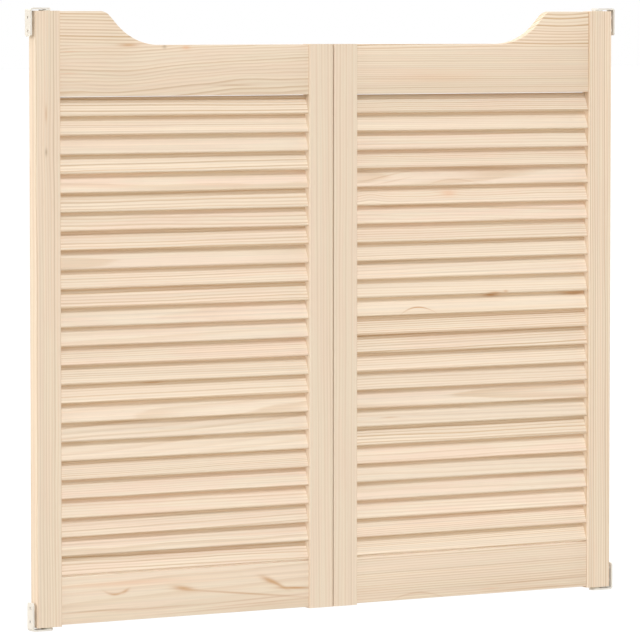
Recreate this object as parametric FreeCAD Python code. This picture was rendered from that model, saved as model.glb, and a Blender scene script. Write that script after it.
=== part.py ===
"""Pair of louvred pine cafe swinging doors on double-action jamb pivots.

X runs across the opening, Y from the front face to the back, Z up. The origin lies on the
underside of the lower brackets, midway between the two jambs and midway through the doors.
The left side is built piece by piece and the right side is its mirror image. Lengths are in
millimetres and angles in degrees.
"""

import FreeCAD
import Part

import math
import os

# Leaves and stiles
PAIR_WIDTH = 1000.0
MEETING_GAP = 1.4
HINGE_STILE_LENGTH = 900.0
TOP_FALL = 49.5
STILE_WIDTH = 41.0
STILE_THICKNESS = 21.0
STILE_ARRIS_RADIUS = 2.0

# Rails
RAIL_THICKNESS = 15.0
RAIL_TOP_SETBACK = 0.5
RAIL_FOOT_SETBACK = 2.0
BOTTOM_RAIL_HEIGHT = 70.0
TOP_RAIL_LOW_HEIGHT = 75.0

# S-curve that lets the top rail down from the hinge stile to the meeting stile
OGEE_INSET = 108.0
OGEE_SLOPE = 47.0
OGEE_CROWN_RADIUS = 21.0
OGEE_HOLLOW_RADIUS = 95.0

# Louvre slats
SLAT_COUNT = 25
SLATS_PER_NODE = 2
SLAT_WIDTH = 30.2
SLAT_THICKNESS = 5.0
SLAT_TILT = 24.5
SLAT_SETBACK = 4.0
SLAT_FOOT_ROOM = 1.6
SLAT_HEAD_ROOM = 1.0
HOUSING_DEPTH = 6.0
HOUSING_CLEARANCE = 0.1
HOUSING_END_ROOM = 0.2

# Dowels that join the rails to the stiles
DOWEL_RADIUS = 4.0
DOWEL_BORE_WALL = 2.0
DOWEL_RAIL_DEPTH = 28.0
DOWEL_EDGE_DISTANCE = 18.0
DOWEL_CLEARANCE = 0.05
DOWEL_END_ROOM = 0.5

# Pivot pins and their flanged bushes
PIN_RADIUS = 3.0
PIN_CLEARANCE = 0.05
PIN_TIP_CHAMFER = 0.6
UPPER_PIN_ENTRY = 13.0
LOWER_PIN_ENTRY = 50.0
BUSH_RADIUS = 6.0
BUSH_LENGTH = 16.0
BUSH_FLANGE_RADIUS = 8.5
BUSH_FLANGE_THICKNESS = 1.5
BUSH_CLEARANCE = 0.02
WASHER_RADIUS = 8.0
WASHER_THICKNESS = 1.0
THRUST_CLEARANCE = 0.2
UPPER_RUNNING_GAP = 0.5

# Jamb brackets and the riveted foot of each pin
BRACKET_THICKNESS = 2.5
BRACKET_WIDTH = 18.0
BRACKET_FLANGE_HEIGHT = 42.0
BRACKET_BEND_RADIUS = 1.5
BRACKET_CORNER_RADIUS = 4.0
JAMB_GAP = 4.0
SCREW_HOLE_RADIUS = 2.2
SCREW_SINK_RADIUS = 3.9
SCREW_FIRST_HEIGHT = 14.0
SCREW_SPACING = 20.0
SCREW_COUNT = 2
SPIGOT_RADIUS = 2.5
RIVET_RADIUS = 3.4
SPIGOT_CLEARANCE = 0.02

# Torsion spring round the lower pin, in the bore above the lower bush
SPRING_WIRE_RADIUS = 1.0
SPRING_KNEE_BULGE = 0.05
SPRING_COIL_RADIUS = 4.5
SPRING_PITCH = 2.2
SPRING_TURNS = 14
SPRING_SEAT_GAP = 0.2
SPRING_LEG_LENGTH = 5.0
SPRING_LEG_CLEARANCE = 0.1
SPRING_CROWN_ROOM = 2.0

# How far a cutting tool runs past the face it cuts, the largest share of a wall that one
# rounding takes, and how near two lengths or places count as the same
OVERCUT = 1.0
ROUNDING_SHARE = 0.45
COINCIDENCE = 0.01

# Levels and places that follow from the sizes above
LEAF_BASE = BRACKET_THICKNESS + WASHER_THICKNESS + THRUST_CLEARANCE + BUSH_FLANGE_THICKNESS
MEETING_STILE_LENGTH = HINGE_STILE_LENGTH - TOP_FALL
STILE_TOP = LEAF_BASE + HINGE_STILE_LENGTH
OVERALL_TOP = STILE_TOP + BUSH_FLANGE_THICKNESS + UPPER_RUNNING_GAP + BRACKET_THICKNESS
OUTER_EDGE = -PAIR_WIDTH / 2
LEAF_WIDTH = (PAIR_WIDTH - MEETING_GAP) / 2
JAMB_FACE = OUTER_EDGE - JAMB_GAP - BRACKET_THICKNESS
PIVOT_X = OUTER_EDGE + STILE_WIDTH / 2
OPENING_LEFT = OUTER_EDGE + STILE_WIDTH
OPENING_RIGHT = OUTER_EDGE + LEAF_WIDTH - STILE_WIDTH
BOTTOM_RAIL_FOOT = LEAF_BASE + RAIL_FOOT_SETBACK
OPENING_FOOT = BOTTOM_RAIL_FOOT + BOTTOM_RAIL_HEIGHT
TOP_RAIL_LOW_TOP = LEAF_BASE + MEETING_STILE_LENGTH - RAIL_TOP_SETBACK
TOP_RAIL_HIGH_TOP = STILE_TOP - RAIL_TOP_SETBACK
OPENING_HEAD = TOP_RAIL_LOW_TOP - TOP_RAIL_LOW_HEIGHT
STILE_FRONT = -STILE_THICKNESS / 2
BORE_RADIUS = BUSH_RADIUS + BUSH_CLEARANCE
DOWEL_STILE_DEPTH = STILE_WIDTH / 2 - BORE_RADIUS - DOWEL_BORE_WALL - DOWEL_END_ROOM
SPRING_FOOT = LEAF_BASE + BUSH_LENGTH + SPRING_SEAT_GAP + SPRING_WIRE_RADIUS
SPRING_HEAD = SPRING_FOOT + SPRING_TURNS * SPRING_PITCH
LOWER_BORE_TOP = max(SPRING_HEAD, LEAF_BASE + LOWER_PIN_ENTRY) + SPRING_CROWN_ROOM

# Slat run: the lower edge of a slat is near the front face and its upper edge near the back
SLAT_RISE = (SLAT_WIDTH - SLAT_THICKNESS) * math.cos(math.radians(SLAT_TILT))
SLAT_REACH = (SLAT_WIDTH - SLAT_THICKNESS) * math.sin(math.radians(SLAT_TILT))
SLAT_HEIGHT = SLAT_RISE + SLAT_THICKNESS
SLAT_RUN = OPENING_HEAD - OPENING_FOOT - SLAT_FOOT_ROOM - SLAT_HEAD_ROOM - SLAT_HEIGHT
SLAT_PITCH = SLAT_RUN / (SLAT_COUNT - 1)

X_AXIS = FreeCAD.Vector(1, 0, 0)
Y_AXIS = FreeCAD.Vector(0, 1, 0)
Z_AXIS = FreeCAD.Vector(0, 0, 1)
ORIGIN = FreeCAD.Vector(0, 0, 0)


def block(low, high):
    """Box between two opposite corners."""
    size = [b - a for a, b in zip(low, high)]
    return Part.makeBox(size[0], size[1], size[2], FreeCAD.Vector(*low))


def rod(radius, length, foot, axis=Z_AXIS):
    """Solid cylinder that starts at foot and runs along axis."""
    return Part.makeCylinder(radius, length, FreeCAD.Vector(*foot), axis)


def edges_along(shape, direction, length):
    """Straight edges of the given direction that are no shorter than length."""
    found = []
    for edge in shape.Edges:
        if not isinstance(edge.Curve, Part.Line):
            continue
        parallel = edge.Curve.Direction.cross(direction).Length < COINCIDENCE
        if parallel and edge.Length > length - COINCIDENCE:
            found.append(edge)
    return found


def edges_at(shape, x, z):
    """Edges whose middle lies at the given X and Z, halfway through the doors."""
    middle = FreeCAD.Vector(x, 0, z)
    return [
        edge
        for edge in shape.Edges
        if edge.CenterOfMass.distanceToPoint(middle) < COINCIDENCE
    ]


def slat_solid(foot_y, foot_z, left, right, growth):
    """Round-nosed slat from left to right, or its housing when growth is above zero."""
    radius = SLAT_THICKNESS / 2 + growth
    along = FreeCAD.Vector(0, SLAT_REACH, SLAT_RISE)
    along.normalize()
    across = FreeCAD.Vector(0, -along.z, along.y) * radius
    foot = FreeCAD.Vector(left, foot_y, foot_z)
    head = foot + FreeCAD.Vector(0, SLAT_REACH, SLAT_RISE)
    outline = Part.Wire(
        [
            Part.makeLine(foot + across, head + across),
            Part.Arc(head + across, head + along * radius, head - across).toShape(),
            Part.makeLine(head - across, foot - across),
            Part.Arc(foot - across, foot - along * radius, foot + across).toShape(),
        ]
    )
    return Part.Face(outline).extrude(X_AXIS * (right - left))


def slat_run(left, right, growth=0.0):
    """All slats of a leaf between two X positions, lowest first."""
    foot_y = STILE_FRONT + SLAT_SETBACK + SLAT_THICKNESS / 2
    first_z = OPENING_FOOT + SLAT_FOOT_ROOM + SLAT_THICKNESS / 2
    return [
        slat_solid(foot_y, first_z + number * SLAT_PITCH, left, right, growth)
        for number in range(SLAT_COUNT)
    ]


def dowel_heights():
    """Heights of the dowels at the hinge stile and at the meeting stile."""
    bottom_rail = [BOTTOM_RAIL_FOOT + DOWEL_EDGE_DISTANCE, OPENING_FOOT - DOWEL_EDGE_DISTANCE]
    head_low = OPENING_HEAD + DOWEL_EDGE_DISTANCE
    head_high = TOP_RAIL_HIGH_TOP - DOWEL_EDGE_DISTANCE
    hinge_side = bottom_rail + [head_low, (head_low + head_high) / 2, head_high]
    meeting_side = bottom_rail + [head_low, TOP_RAIL_LOW_TOP - DOWEL_EDGE_DISTANCE]
    return hinge_side, meeting_side


def dowels(radius_growth=0.0, end_growth=0.0):
    """Dowels of one leaf as (hinge side, meeting side), or the holes they lie in."""
    radius = DOWEL_RADIUS + radius_growth
    length = DOWEL_STILE_DEPTH + DOWEL_RAIL_DEPTH + 2 * end_growth
    hinge_foot = OPENING_LEFT - DOWEL_STILE_DEPTH - end_growth
    meeting_foot = OPENING_RIGHT - DOWEL_RAIL_DEPTH - end_growth
    hinge_heights, meeting_heights = dowel_heights()
    return (
        [rod(radius, length, (hinge_foot, 0, z), X_AXIS) for z in hinge_heights],
        [rod(radius, length, (meeting_foot, 0, z), X_AXIS) for z in meeting_heights],
    )


def stile(left, length):
    """Plain stile with its four long arrises rounded."""
    back = STILE_THICKNESS / 2
    blank = block((left, -back, LEAF_BASE), (left + STILE_WIDTH, back, LEAF_BASE + length))
    arris = min(STILE_ARRIS_RADIUS, ROUNDING_SHARE * min(STILE_THICKNESS, STILE_WIDTH))
    return blank.makeFillet(arris, edges_along(blank, Z_AXIS, length))


def hinge_stile():
    """Tall outer stile with slat housings, dowel holes and the two pivot bores."""
    left = OPENING_LEFT - STILE_WIDTH
    housings = slat_run(OPENING_LEFT - HOUSING_DEPTH, OPENING_LEFT + OVERCUT, HOUSING_CLEARANCE)
    holes = dowels(DOWEL_CLEARANCE, DOWEL_END_ROOM)[0]
    lower_bore = rod(BORE_RADIUS, LOWER_BORE_TOP - LEAF_BASE, (PIVOT_X, 0, LEAF_BASE))
    upper_bore = rod(BORE_RADIUS, BUSH_LENGTH, (PIVOT_X, 0, STILE_TOP - BUSH_LENGTH))
    leg_hole = rod(
        SPRING_WIRE_RADIUS + SPRING_LEG_CLEARANCE,
        SPRING_LEG_LENGTH + SPRING_LEG_CLEARANCE,
        (PIVOT_X + SPRING_COIL_RADIUS, 0, LOWER_BORE_TOP),
    )
    return stile(left, HINGE_STILE_LENGTH).cut(
        housings + holes + [lower_bore, upper_bore, leg_hole]
    )


def meeting_stile():
    """Shorter inner stile with slat housings and dowel holes."""
    housings = slat_run(OPENING_RIGHT - OVERCUT, OPENING_RIGHT + HOUSING_DEPTH, HOUSING_CLEARANCE)
    holes = dowels(DOWEL_CLEARANCE, DOWEL_END_ROOM)[1]
    return stile(OPENING_RIGHT, MEETING_STILE_LENGTH).cut(housings + holes)


def rail_dowel_holes():
    """Dowel holes of both sides, for cutting a rail."""
    hinge_side, meeting_side = dowels(DOWEL_CLEARANCE, DOWEL_END_ROOM)
    return hinge_side + meeting_side


def bottom_rail():
    """Straight rail between the stiles at the foot of the leaf."""
    back = RAIL_THICKNESS / 2
    blank = block((OPENING_LEFT, -back, BOTTOM_RAIL_FOOT), (OPENING_RIGHT, back, OPENING_FOOT))
    return blank.cut(rail_dowel_holes())


def top_rail():
    """Rail with an S-curved top: a crown arc, a straight slope and a hollow arc."""
    front = -RAIL_THICKNESS / 2
    slope = math.radians(OGEE_SLOPE)
    fall = 1 - math.cos(slope)
    turn = math.sin(slope)
    crown = FreeCAD.Vector(
        OUTER_EDGE + OGEE_INSET, front, TOP_RAIL_HIGH_TOP - OGEE_CROWN_RADIUS
    )
    straight_fall = (
        TOP_RAIL_HIGH_TOP - TOP_RAIL_LOW_TOP - (OGEE_CROWN_RADIUS + OGEE_HOLLOW_RADIUS) * fall
    )
    run = (OGEE_CROWN_RADIUS + OGEE_HOLLOW_RADIUS) * turn + straight_fall / math.tan(slope)
    hollow = FreeCAD.Vector(crown.x + run, front, TOP_RAIL_LOW_TOP + OGEE_HOLLOW_RADIUS)

    def crown_point(angle):
        return crown + FreeCAD.Vector(math.sin(angle), 0, math.cos(angle)) * OGEE_CROWN_RADIUS

    def hollow_point(angle):
        return hollow - FreeCAD.Vector(math.sin(angle), 0, math.cos(angle)) * OGEE_HOLLOW_RADIUS

    high_corner = FreeCAD.Vector(OPENING_LEFT, front, TOP_RAIL_HIGH_TOP)
    low_corner = FreeCAD.Vector(OPENING_RIGHT, front, TOP_RAIL_LOW_TOP)
    foot_right = FreeCAD.Vector(OPENING_RIGHT, front, OPENING_HEAD)
    foot_left = FreeCAD.Vector(OPENING_LEFT, front, OPENING_HEAD)
    outline = Part.Wire(
        [
            Part.makeLine(high_corner, crown_point(0)),
            Part.Arc(crown_point(0), crown_point(slope / 2), crown_point(slope)).toShape(),
            Part.makeLine(crown_point(slope), hollow_point(slope)),
            Part.Arc(hollow_point(slope), hollow_point(slope / 2), hollow_point(0)).toShape(),
            Part.makeLine(hollow_point(0), low_corner),
            Part.makeLine(low_corner, foot_right),
            Part.makeLine(foot_right, foot_left),
            Part.makeLine(foot_left, high_corner),
        ]
    )
    blank = Part.Face(outline).extrude(Y_AXIS * RAIL_THICKNESS)
    return blank.cut(rail_dowel_holes())


def bush():
    """Flanged bush with its flange below the mounting face at height zero."""
    body = rod(BUSH_RADIUS, BUSH_LENGTH, (0, 0, 0))
    flange = rod(BUSH_FLANGE_RADIUS, BUSH_FLANGE_THICKNESS, (0, 0, -BUSH_FLANGE_THICKNESS))
    bore = rod(
        PIN_RADIUS + PIN_CLEARANCE,
        BUSH_LENGTH + BUSH_FLANGE_THICKNESS + 2 * OVERCUT,
        (0, 0, -BUSH_FLANGE_THICKNESS - OVERCUT),
    )
    return body.fuse(flange).cut(bore).removeSplitter()


def pivot_pin(entry):
    """Pin that stands on the bracket arm, its riveted spigot flush with the arm's outside.

    The arm's outer face is at height zero, and entry is how far the pin reaches past the
    end of the stile.
    """
    length = LEAF_BASE - BRACKET_THICKNESS + entry
    shank = rod(PIN_RADIUS, length, (0, 0, BRACKET_THICKNESS))
    rims = edges_at(shank, 0, BRACKET_THICKNESS + length)
    shank = shank.makeChamfer(PIN_TIP_CHAMFER, rims)
    spigot = rod(SPIGOT_RADIUS, BRACKET_THICKNESS, (0, 0, 0))
    rivet = Part.makeCone(RIVET_RADIUS, SPIGOT_RADIUS, RIVET_RADIUS - SPIGOT_RADIUS)
    return shank.fuse([spigot, rivet]).removeSplitter()


def jamb_bracket():
    """L-shaped bracket: the arm's outer face is at height zero, the pivot on the Z axis."""
    half = BRACKET_WIDTH / 2
    jamb = JAMB_FACE - PIVOT_X
    arm = block((jamb, -half, 0), (0, half, BRACKET_THICKNESS))
    arm = arm.fuse(rod(half, BRACKET_THICKNESS, (0, 0, 0)))
    flange = block((jamb, -half, 0), (jamb + BRACKET_THICKNESS, half, BRACKET_FLANGE_HEIGHT))
    corners = [
        edge
        for edge in edges_along(flange, X_AXIS, BRACKET_THICKNESS)
        if edge.CenterOfMass.z > BRACKET_FLANGE_HEIGHT / 2
    ]
    corner_radius = min(BRACKET_CORNER_RADIUS, ROUNDING_SHARE * BRACKET_WIDTH)
    flange = flange.makeFillet(corner_radius, corners)
    plate = arm.fuse(flange).removeSplitter()
    inside = edges_at(plate, jamb + BRACKET_THICKNESS, BRACKET_THICKNESS)
    plate = plate.makeFillet(BRACKET_BEND_RADIUS, inside)
    outside = edges_at(plate, jamb, 0)
    plate = plate.makeFillet(BRACKET_BEND_RADIUS + BRACKET_THICKNESS, outside)
    return plate.cut(bracket_holes(jamb))


def bracket_holes(jamb):
    """Countersunk screw holes in the flange and the riveting hole in the arm."""
    sink_depth = SCREW_SINK_RADIUS - SCREW_HOLE_RADIUS
    through = BRACKET_THICKNESS + 2 * OVERCUT
    cutters = []
    for number in range(SCREW_COUNT):
        height = SCREW_FIRST_HEIGHT + number * SCREW_SPACING
        cutters.append(rod(SCREW_HOLE_RADIUS, through, (jamb - OVERCUT, 0, height), X_AXIS))
        sink_foot = FreeCAD.Vector(jamb + BRACKET_THICKNESS - sink_depth, 0, height)
        cutters.append(
            Part.makeCone(SCREW_HOLE_RADIUS, SCREW_SINK_RADIUS, sink_depth, sink_foot, X_AXIS)
        )
    cutters.append(rod(SPIGOT_RADIUS + SPIGOT_CLEARANCE, through, (0, 0, -OVERCUT)))
    cutters.append(
        Part.makeCone(
            RIVET_RADIUS + SPIGOT_CLEARANCE,
            SPIGOT_RADIUS + SPIGOT_CLEARANCE,
            RIVET_RADIUS - SPIGOT_RADIUS,
        )
    )
    return cutters


def thrust_washer():
    """Plain washer that carries the leaf on the lower bracket."""
    foot = (PIVOT_X, 0, BRACKET_THICKNESS)
    ring = rod(WASHER_RADIUS, WASHER_THICKNESS, foot)
    return ring.cut(rod(PIN_RADIUS + PIN_CLEARANCE, WASHER_THICKNESS, foot))


def return_spring():
    """Torsion spring: one leg crosses the pin, the other stands in a hole in the stile."""
    coil_height = SPRING_TURNS * SPRING_PITCH
    helix = Part.makeHelix(SPRING_PITCH, coil_height, SPRING_COIL_RADIUS)
    start = FreeCAD.Vector(SPRING_COIL_RADIUS, 0, 0)
    section = Part.Wire(Part.makeCircle(SPRING_WIRE_RADIUS, start, Y_AXIS))
    coil = Part.Wire(helix.Edges).makePipeShell([section], True, True)
    finish = FreeCAD.Vector(SPRING_COIL_RADIUS, 0, coil_height)
    knee = SPRING_WIRE_RADIUS + SPRING_KNEE_BULGE
    inner_leg = rod(
        SPRING_WIRE_RADIUS,
        SPRING_COIL_RADIUS + PIN_RADIUS + SPRING_WIRE_RADIUS,
        (-PIN_RADIUS - SPRING_WIRE_RADIUS, 0, 0),
        X_AXIS,
    )
    outer_leg = rod(
        SPRING_WIRE_RADIUS, LOWER_BORE_TOP + SPRING_LEG_LENGTH - SPRING_HEAD, tuple(finish)
    )
    knees = [Part.makeSphere(knee, start), Part.makeSphere(knee, finish)]
    spring = coil.fuse([inner_leg, outer_leg] + knees)
    return spring.translated(FreeCAD.Vector(PIVOT_X, 0, SPRING_FOOT))


def lower_pin():
    """Long lower pin with the cross hole that takes the spring's inner leg."""
    pin = pivot_pin(LOWER_PIN_ENTRY).translated(FreeCAD.Vector(PIVOT_X, 0, 0))
    cross_hole = rod(
        SPRING_WIRE_RADIUS + SPRING_LEG_CLEARANCE,
        2 * (PIN_RADIUS + OVERCUT),
        (PIVOT_X - PIN_RADIUS - OVERCUT, 0, SPRING_FOOT),
        X_AXIS,
    )
    return pin.cut(cross_hole)


def hung_from_top(shape):
    """Turns a piece made for the lower pivot over and sets it at the upper pivot."""
    turned = shape.mirror(ORIGIN, Z_AXIS)
    return turned.translated(FreeCAD.Vector(PIVOT_X, 0, OVERALL_TOP))


def left_side():
    """Every node of the left jamb and leaf, by its name without the side."""
    at_pivot = FreeCAD.Vector(PIVOT_X, 0, 0)
    upper_bush = bush().mirror(ORIGIN, Z_AXIS)
    pieces = {
        "lower_bracket": jamb_bracket().translated(at_pivot),
        "upper_bracket": hung_from_top(jamb_bracket()),
        "lower_pivot_pin": lower_pin(),
        "upper_pivot_pin": hung_from_top(pivot_pin(UPPER_PIN_ENTRY)),
        "thrust_washer": thrust_washer(),
        "return_spring": return_spring(),
        "lower_bush": bush().translated(FreeCAD.Vector(PIVOT_X, 0, LEAF_BASE)),
        "upper_bush": upper_bush.translated(FreeCAD.Vector(PIVOT_X, 0, STILE_TOP)),
        "hinge_stile": hinge_stile(),
        "meeting_stile": meeting_stile(),
        "bottom_rail": bottom_rail(),
        "top_rail": top_rail(),
        "rail_dowels": Part.Compound([peg for side in dowels() for peg in side]),
    }
    slat_left = OPENING_LEFT - HOUSING_DEPTH + HOUSING_END_ROOM
    slat_right = OPENING_RIGHT + HOUSING_DEPTH - HOUSING_END_ROOM
    slats = slat_run(slat_left, slat_right)
    for first in range(0, SLAT_COUNT, SLATS_PER_NODE):
        group = slats[first : first + SLATS_PER_NODE]
        numbers = "_".join(f"{first + place + 1:02d}" for place in range(len(group)))
        pieces[f"slat_{numbers}"] = Part.Compound(group)
    return pieces


def main():
    """Writes one STEP file for each node of both sides."""
    os.makedirs("parts", exist_ok=True)
    for name, shape in left_side().items():
        shape.exportStep(f"parts/left_{name}.step")
        shape.mirror(ORIGIN, X_AXIS).exportStep(f"parts/right_{name}.step")


main()
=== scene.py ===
"""Louvred pine cafe doors: modelled boards, solid-wood grain, pivots, studio and camera.

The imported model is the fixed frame. Rails, slats and return springs are pieces of this script
that stand for their nodes, and the stiles and the rest of the pivot hardware keep their solids
and are dressed. Sizes are in millimetres unless a name says otherwise, and places come from the
frame.
"""

import logging
import math
import random
from abc import ABC, abstractmethod
from collections.abc import Callable, Mapping
from dataclasses import dataclass
from enum import Enum
from functools import partial
from typing import Any

import bpy
from bpy.types import Material, NodeSocket, NodeTree, Object
from mathutils import Matrix, Vector

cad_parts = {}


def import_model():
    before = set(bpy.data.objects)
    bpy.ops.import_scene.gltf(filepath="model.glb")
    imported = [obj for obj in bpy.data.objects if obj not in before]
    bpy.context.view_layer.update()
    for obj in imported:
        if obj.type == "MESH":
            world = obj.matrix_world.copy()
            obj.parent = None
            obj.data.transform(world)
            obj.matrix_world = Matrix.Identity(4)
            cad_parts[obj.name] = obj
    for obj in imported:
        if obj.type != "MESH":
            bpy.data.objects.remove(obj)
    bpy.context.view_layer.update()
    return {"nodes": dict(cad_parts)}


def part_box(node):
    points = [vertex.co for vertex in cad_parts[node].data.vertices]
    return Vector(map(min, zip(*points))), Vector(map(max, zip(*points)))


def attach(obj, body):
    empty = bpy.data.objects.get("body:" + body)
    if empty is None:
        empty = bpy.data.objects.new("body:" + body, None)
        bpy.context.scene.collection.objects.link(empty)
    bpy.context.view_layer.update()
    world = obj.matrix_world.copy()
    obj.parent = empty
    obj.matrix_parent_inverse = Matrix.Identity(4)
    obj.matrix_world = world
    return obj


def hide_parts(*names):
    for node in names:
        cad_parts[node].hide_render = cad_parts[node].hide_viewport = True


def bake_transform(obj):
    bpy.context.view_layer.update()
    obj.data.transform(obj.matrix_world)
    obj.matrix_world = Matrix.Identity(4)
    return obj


LOG = logging.getLogger("cafe_doors")
MM = 0.001
NEAR = 0.01 * MM
WELD = 0.001 * MM
SMOOTH_ANGLE = 35.0


class Side(Enum):
    """The two leaves, with the sign of X on their side."""

    LEFT = -1
    RIGHT = 1

    @property
    def label(self) -> str:
        """Word that node names of this side start with."""
        return self.name.lower()

    @property
    def body(self) -> str:
        """Body that the pieces of this leaf ride on."""
        return f"{self.label}_leaf"

    def outer_edge(self, part: str) -> float:
        """X in metres of the edge that a part of this leaf turns to its jamb."""
        low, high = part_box(f"{self.label}_{part}")
        return low.x if self is Side.LEFT else high.x


class Lay(Enum):
    """How a board lies in the leaf: the directions of its length, its width and its show face."""

    LEVEL = ((1, 0, 0), (0, 0, 1), (0, -1, 0))
    UPRIGHT = ((0, 0, 1), (-1, 0, 0), (0, -1, 0))

    def turn(self, lean: float = 0.0) -> Matrix:
        """Rotation from board axes to the pair's, for an upper edge that leans back in radians."""
        columns = Matrix(self.value).transposed()
        return Matrix.Rotation(-lean, 3, "X") @ columns


def srgb(code: str) -> tuple[float, float, float, float]:
    """Turns an sRGB hex code into the linear colour that a socket takes.

    Args:
        code: Six hex digits after a hash sign.

    Returns:
        Linear red, green and blue, and an alpha of one.
    """
    channels = [int(code[place : place + 2], 16) / 255 for place in (1, 3, 5)]
    linear = [c / 12.92 if c <= 0.04045 else ((c + 0.055) / 1.055) ** 2.4 for c in channels]
    return (*linear, 1.0)


def add(
    tree: NodeTree, kind: str, inputs: dict | tuple = (), output: int | str = 0, **settings: Any
) -> NodeSocket | None:
    """Adds a node with its settings and links.

    Args:
        tree: Node tree that gets the node.
        kind: Node type without its ShaderNode prefix.
        inputs: Values, or the output sockets that feed it, by socket name or in socket order.
        output: Name or index of the output socket to return.
        **settings: Properties of the node.

    Returns:
        The chosen output socket, or None where the node has no outputs.
    """
    node = tree.nodes.new(f"ShaderNode{kind}")
    for name, value in settings.items():
        setattr(node, name, value)
    for name, value in inputs.items() if isinstance(inputs, dict) else enumerate(inputs):
        if isinstance(value, NodeSocket):
            tree.links.new(value, node.inputs[name])
        else:
            node.inputs[name].default_value = value
    return node.outputs[output] if node.outputs else None


def new_material(name: str) -> Material:
    """Makes an empty node material.

    Args:
        name: Name of the material.

    Returns:
        The material, with no nodes in its tree.
    """
    material = bpy.data.materials.new(name)
    material.use_nodes = True
    material.node_tree.nodes.clear()
    return material


def dress(piece: Object, material: Material) -> None:
    """Gives every slot of a piece the same material.

    Args:
        piece: Object to dress.
        material: Material for all of its slots.
    """
    if not piece.data.materials:
        piece.data.materials.append(material)
    for slot in piece.material_slots:
        slot.material = material


class Tint(Enum):
    """Colours that a patch of pine can take."""

    RESIN = "#BE8748"
    KNOT = "#94795A"
    BLUSH = "#E3AE88"
    TAN = "#C39C74"


@dataclass(frozen=True)
class Mark:
    """A knot, spike or resin streak, placed on the board's show face in millimetres.

    Attributes:
        along: Place along the board from its middle.
        across: Place across the board from its middle.
        half_length: Half of the tinted patch along the grain.
        half_height: Half of it across the grain.
        strength: How much of its colour shows, from none at 0 to full at 1.
        tint: Colour of the patch.
        slant: Slope of the patch to the grain.
        curl: How far the patch bends up towards its ends.
        lift: How far the grain bows round it; a negative lift bows downwards.
    """

    along: float
    across: float
    half_length: float
    half_height: float
    strength: float = 0.5
    tint: Tint = Tint.RESIN
    slant: float = 0.0
    curl: float = 0.0
    lift: float = 0.0

    def spread(self, tree: NodeTree, axes: Mapping[str, NodeSocket]) -> NodeSocket:
        """Adds the nodes that measure how far a place lies from the middle of the mark.

        Args:
            tree: Node tree of the board's material.
            axes: Place on the board, along it as X and across it as Y.

        Returns:
            Socket of the squared distance, which is 1 at the patch's half length and height.
        """
        put = partial(add, tree)
        along = put("Math", (axes["X"], self.along), operation="SUBTRACT")
        along = put("Math", (along, self.half_length), operation="DIVIDE")
        square = put("Math", (along, along), operation="MULTIPLY")
        rise = put("Math", (axes["Y"], self.across), operation="SUBTRACT")
        fall = -self.slant * self.half_length
        rise = put("Math", (along, fall, rise), operation="MULTIPLY_ADD")
        rise = put("Math", (square, -self.curl, rise), operation="MULTIPLY_ADD")
        across = put("Math", (rise, self.half_height), operation="DIVIDE")
        return put("Math", (across, across, square), operation="MULTIPLY_ADD")


@dataclass(frozen=True)
class Cut:
    """How a board was sawn from the log, which decides the figure on its faces.

    Attributes:
        pith_across: Where the log's heart lies across the board, from its middle.
        pith_depth: How far the heart lies from the board's middle, in front where positive.
        slope_across: Run-out of the heart across the board, per length.
        slope_depth: Run-out of the heart through the board, per length.
        ring: Width of a year ring.
        wander: How far slow growth waves shift the rings.
        contrast: Darkness of the late wood, 1 for strongly marked.
        warmth: Share of the warmer, pinker wood.
        streak: Strength of the long pale and dark streaks between the rings.
        tone: Lightness of the whole board, 1 for the usual.
        seed: Number that moves the noise, one for each board.
        marks: Knots and streaks of this board.
        glue_line: Height above the board's middle at which a second board is glued on.
        upper: How that second board was sawn.
    """

    pith_across: float = 10.0
    pith_depth: float = -60.0
    slope_across: float = 0.0
    slope_depth: float = 0.02
    ring: float = 3.5
    wander: float = 4.0
    contrast: float = 0.6
    warmth: float = 0.4
    streak: float = 0.16
    tone: float = 1.0
    seed: float = 1.0
    marks: tuple[Mark, ...] = ()
    glue_line: float = 0.0
    upper: "Cut | None" = None

    def numbers(self) -> dict[str, float]:
        """Name to value, for each number that the pine's node group takes."""
        own = ("marks", "glue_line", "upper")
        return {name: value for name, value in vars(self).items() if name not in own}


@dataclass(frozen=True)
class Timber:
    """The boards picked for one leaf.

    Attributes:
        hinge_stile: Cut of the tall stile.
        meeting_stile: Cut of the short stile.
        top_rail: Cut of the top rail, with the board glued on for its tall end.
        bottom_rail: Cut of the bottom rail.
        slat_marks: Slat number to its knots and streaks, 1 for the lowest slat.
    """

    hinge_stile: Cut
    meeting_stile: Cut
    top_rail: Cut
    bottom_rail: Cut
    slat_marks: dict[int, tuple[Mark, ...]]


class Sawing(Enum):
    """How a slat was sawn from its log.

    Each value gives the least and the greatest reach to the heart of the log, across the slat
    and through it, and the least and the greatest contrast of the rings.
    """

    PLAIN = ((0, 25), (20, 60), (0.2, 0.5))
    QUARTER = ((45, 120), (6, 40), (0.4, 1.1))


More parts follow.
